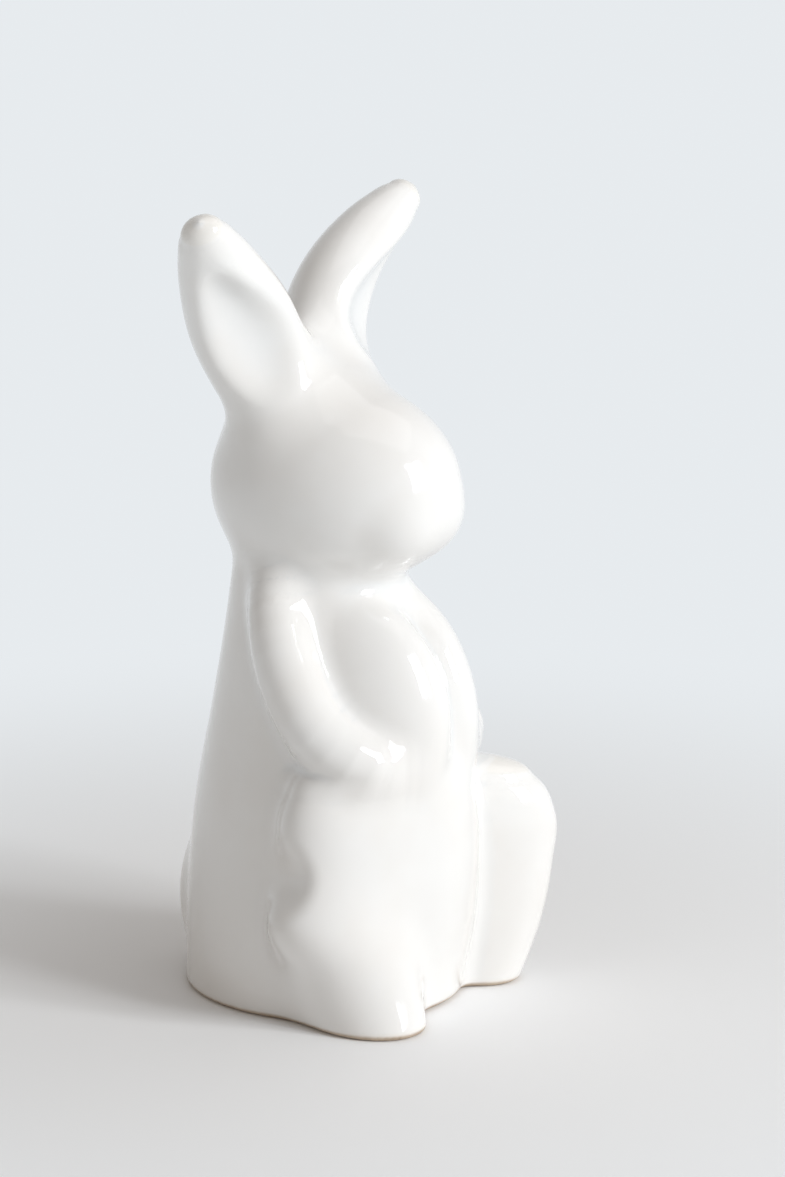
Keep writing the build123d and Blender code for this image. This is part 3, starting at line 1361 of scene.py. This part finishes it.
@dataclass(frozen=True)
class GlazeFinish:
    """Clear gloss glaze over white clay with a bare line along the foot; pooled glaze and painted shade
    grey its creases.
    """

    name: str = "white_glaze"
    white: tuple[float, float, float, float] = colour(0.87, 0.86, 0.84)
    cream: tuple[float, float, float, float] = colour(0.84, 0.82, 0.79)
    # Grey of the creases: partly glaze pooled there, partly painted shade.
    pooled_glaze_and_crease_shade: tuple[float, float, float, float] = colour(0.80, 0.80, 0.79)
    thin: tuple[float, float, float, float] = colour(0.85, 0.82, 0.77)
    clay: ClayFinish = ClayFinish()
    cloud_scale: float = 45.0
    grain_scale: float = 700.0
    wobble_scale: float = 160.0
    wobble: float = 0.00003
    bare_height: float = 0.0005
    glazed_height: float = 0.0012
    ragged: float = 0.0006
    cream_span: tuple[float, float] = (0.35, 0.70)
    pool_and_crease_shade_span: tuple[float, float] = (0.05, 0.60)
    thin_span: tuple[float, float] = (-0.9, -0.4)
    thin_share: float = 0.7
    gloss_clouds: tuple[float, float] = (0.3, 0.7)
    gloss_span: tuple[float, float] = (0.06, 0.11)
    bare_roughness: float = 0.7
    coat: float = 0.6
    coat_roughness: float = 0.03
    refraction: float = 1.5
    wobble_detail: float = 1.0

    def material(self) -> bpy.types.Material:
        """Dress for the glazed castings.

        Returns:
            The material.
        """
        material = bpy.data.materials.new(self.name)
        material.use_nodes = True
        bench = NodeBench(material.node_tree)
        links = material.node_tree.links
        shader = material.node_tree.nodes["Principled BSDF"]
        mottle = KilnMottle.place(bench, self.cloud_scale, self.grain_scale)
        place = bench.add("ShaderNodeTexCoord").outputs["Object"]
        crease = bench.add("ShaderNodeAttribute", attribute_name="crease").outputs["Fac"]
        glaze = bench.mix(bench.ramp(mottle["Clouds"], *self.cream_span), self.white, self.cream)
        # Creases painted greyer: partly pooled glaze, partly painted shade.
        glaze = bench.mix(bench.ramp(crease, *self.pool_and_crease_shade_span), glaze, self.pooled_glaze_and_crease_shade)
        thinned = bench.ramp(crease, *self.thin_span, to_low=self.thin_share, to_high=0.0)
        glaze = bench.mix(thinned, glaze, self.thin)
        height = bench.add("ShaderNodeSeparateXYZ", {0: place}).outputs["Z"]
        edge = bench.math("MULTIPLY_ADD", mottle["Clouds"], self.ragged, -self.ragged / 2)
        level = bench.math("ADD", height, edge)
        glazed = bench.ramp(level, self.bare_height, self.glazed_height)
        body, grain = self.clay.colours(bench)
        links.new(bench.mix(glazed, body, glaze), shader.inputs["Base Color"])
        gloss = bench.ramp(mottle["Clouds"], *self.gloss_clouds, *self.gloss_span)
        bare = bench.math("SUBTRACT", 1.0, glazed)
        roughness = bench.math("MULTIPLY_ADD", bare, self.bare_roughness, gloss)
        links.new(roughness, shader.inputs["Roughness"])
        links.new(bench.math("MULTIPLY", glazed, self.coat), shader.inputs["Coat Weight"])
        shader.inputs["Coat Roughness"].default_value = self.coat_roughness
        shader.inputs["IOR"].default_value = self.refraction
        wave = {"Vector": place, "Scale": self.wobble_scale, "Detail": self.wobble_detail}
        ripple = bench.add("ShaderNodeTexNoise", wave).outputs[0]
        bump = bench.add("ShaderNodeBump", {"Height": ripple, "Distance": self.wobble, "Strength": 1.0})
        links.new(bump.outputs[0], shader.inputs["Normal"])
        return material


# Studio

@dataclass(frozen=True)
class Lamp:
    """Soft rectangular lamp that looks at the figure."""

    name: str
    azimuth: float
    elevation: float
    distance: float
    width: float
    height: float
    watts: float
    tint: tuple[float, float, float] = (1.0, 1.0, 1.0)

    @classmethod
    def pane(cls, name: str, azimuth: float) -> "Lamp":
        """One pane of the tall window that is the main light."""
        return cls(
            name=name,
            azimuth=azimuth,
            elevation=23.0,
            distance=0.85,
            width=0.13,
            height=0.36,
            watts=2.75,
            tint=(0.94, 0.97, 1.0),
        )

    def hang(self, target: Vector) -> bpy.types.Object:
        """Put up the lamp.

        Args:
            target: Point that it looks at.

        Returns:
            The lamp.
        """
        light = bpy.data.lights.new(self.name, "AREA")
        light.shape = "RECTANGLE"
        light.size, light.size_y = self.width, self.height
        light.energy = self.watts
        light.color = self.tint
        lamp = bpy.data.objects.new(self.name, light)
        bpy.context.scene.collection.objects.link(lamp)
        turn, lift = math.radians(self.azimuth), math.radians(self.elevation)
        away = Vector((math.sin(turn) * math.cos(lift), -math.cos(turn) * math.cos(lift), math.sin(lift)))
        lamp.location = target + away * self.distance
        lamp.rotation_mode = "QUATERNION"
        lamp.rotation_quaternion = (-away).to_track_quat("-Z", "Y")
        return lamp


@dataclass
class Studio:
    """Pale floor, soft light and the camera."""

    offset: Array
    backdrop: tuple[float, float, float, float] = colour(0.800, 0.832, 0.858)
    floor: tuple[float, float, float, float] = colour(0.93, 0.935, 0.94)
    room: tuple[float, float, float, float] = colour(0.90, 0.82, 0.75)
    ambient: float = 0.34
    camera_place: tuple[float, float, float] = (-516.16, -326.94, 210.74)
    camera_heading: float = 31.216
    camera_pitch: float = -12.924
    lens: float = 111.62
    sensor: float = 36.0
    floor_radius: float = 3.0
    floor_rings: int = 6
    floor_spokes: int = 48
    floor_roughness: float = 0.6
    floor_shine: float = 0.2
    fade_start: float = 0.010
    fade_end: float = 0.25
    lamps: tuple[Lamp, ...] = (
        Lamp.pane("window_left_pane", azimuth=-4.0),
        Lamp.pane("window_right_pane", azimuth=8.0),
        Lamp("ceiling_bounce", 40.0, elevation=75.0, distance=1.1, width=1.0, height=1.0, watts=1.6),
    )

    def build(self) -> None:
        """Set up the whole studio."""
        self.light_room()
        self.lay_floor()
        self.stand_camera()

    def light_room(self) -> None:
        """Put up the lamps, and a world that shows the pale backdrop to the camera."""
        target = (CAD_BOX[0] + CAD_BOX[1]) / 2
        for lamp in self.lamps:
            lamp.hang(target)
        world = bpy.data.worlds.new("room")
        world.use_nodes = True
        bpy.context.scene.world = world
        bench = NodeBench(world.node_tree)
        links = world.node_tree.links
        ways = bench.add("ShaderNodeLightPath").outputs
        shown = world.node_tree.nodes["Background"]
        shown.inputs["Color"].default_value = self.backdrop
        room = bench.add("ShaderNodeBackground", {"Color": self.room, "Strength": self.ambient})
        reflected_too = bench.math("ADD", ways["Is Camera Ray"], ways["Is Glossy Ray"])
        passed_too = bench.math("ADD", reflected_too, ways["Is Transmission Ray"])
        seen = bench.math("MINIMUM", passed_too, 1.0)
        choice = bench.add("ShaderNodeMixShader", {0: seen})
        links.new(room.outputs[0], choice.inputs[1])
        links.new(shown.outputs[0], choice.inputs[2])
        links.new(choice.outputs[0], world.node_tree.nodes["World Output"].inputs["Surface"])

    def lay_floor(self) -> bpy.types.Object:
        """Lay a round floor that runs out into the backdrop.

        Returns:
            The floor.
        """
        points = [(0.0, 0.0, 0.0)]
        faces = []
        for ring in range(1, self.floor_rings + 1):
            radius = self.floor_radius * (ring / self.floor_rings) ** 2
            for spoke in range(self.floor_spokes):
                turn = 2 * math.pi * spoke / self.floor_spokes
                points.append((radius * math.cos(turn), radius * math.sin(turn), 0.0))
        for spoke in range(self.floor_spokes):
            after = (spoke + 1) % self.floor_spokes
            faces.append((0, 1 + spoke, 1 + after))
            for ring in range(self.floor_rings - 1):
                inner = 1 + ring * self.floor_spokes
                outer = inner + self.floor_spokes
                faces.append((inner + spoke, outer + spoke, outer + after, inner + after))
        mesh = bpy.data.meshes.new("floor")
        mesh.from_pydata(points, [], faces)
        mesh.materials.append(self.floor_material())
        floor = bpy.data.objects.new("floor", mesh)
        bpy.context.scene.collection.objects.link(floor)
        return floor

    def floor_material(self) -> bpy.types.Material:
        """Pale matt floor, which takes the backdrop's own colour further out.

        Returns:
            The material.
        """
        material = bpy.data.materials.new("pale_floor")
        material.use_nodes = True
        tree = material.node_tree
        bench = NodeBench(tree)
        shader = tree.nodes["Principled BSDF"]
        shader.inputs["Base Color"].default_value = self.floor
        shader.inputs["Roughness"].default_value = self.floor_roughness
        shader.inputs["Specular IOR Level"].default_value = self.floor_shine
        place = bench.add("ShaderNodeTexCoord").outputs["Object"]
        away = bench.add("ShaderNodeVectorMath", {0: place}, operation="LENGTH").outputs["Value"]
        far = bench.ramp(away, self.fade_start, self.fade_end)
        glow = bench.add("ShaderNodeEmission", {"Color": self.backdrop, "Strength": 1.0})
        blend = bench.add("ShaderNodeMixShader", {0: far})
        tree.links.new(shader.outputs[0], blend.inputs[1])
        tree.links.new(glow.outputs[0], blend.inputs[2])
        tree.links.new(blend.outputs[0], tree.nodes["Material Output"].inputs["Surface"])
        return material

    def stand_camera(self) -> bpy.types.Object:
        """Stand the camera where it sees the figure's right side and face.

        Returns:
            The camera.
        """
        data = bpy.data.cameras.new("camera")
        data.lens = self.lens
        data.sensor_width = self.sensor
        camera = bpy.data.objects.new("camera", data)
        bpy.context.scene.collection.objects.link(camera)
        heading, pitch = math.radians(self.camera_heading), math.radians(self.camera_pitch)
        level = math.cos(pitch)
        ahead = Vector((level * math.cos(heading), level * math.sin(heading), math.sin(pitch)))
        camera.location = Vector((np.array(self.camera_place) + self.offset) * MILLIMETRE)
        camera.rotation_mode = "QUATERNION"
        camera.rotation_quaternion = ahead.to_track_quat("-Z", "Y")
        bpy.context.scene.camera = camera
        return camera


def main() -> None:
    """Build the figure, its finishes and the studio."""
    bpy.context.scene.view_settings.view_transform = "Standard"
    castings = Castings.read()
    figure = Figure.of(castings)
    offset = np.array((0, castings.head_back - figure.head.nape_length - figure.head.setback, 0))
    Studio(offset).build()
    clay = ClayFinish().material()
    glaze = GlazeFinish().material()
    pieces = GlazedFigure(figure, offset, Skin(figure.distance)).build()
    for piece in pieces.values():
        piece.data.materials.append(glaze)
    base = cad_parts["base_disc"]
    base.data.materials.clear()
    base.data.materials.append(clay)
    log.info("base_disc: dressed in bare clay")


if __name__ == "__main__":
    logging.basicConfig(level=logging.INFO)
    main()
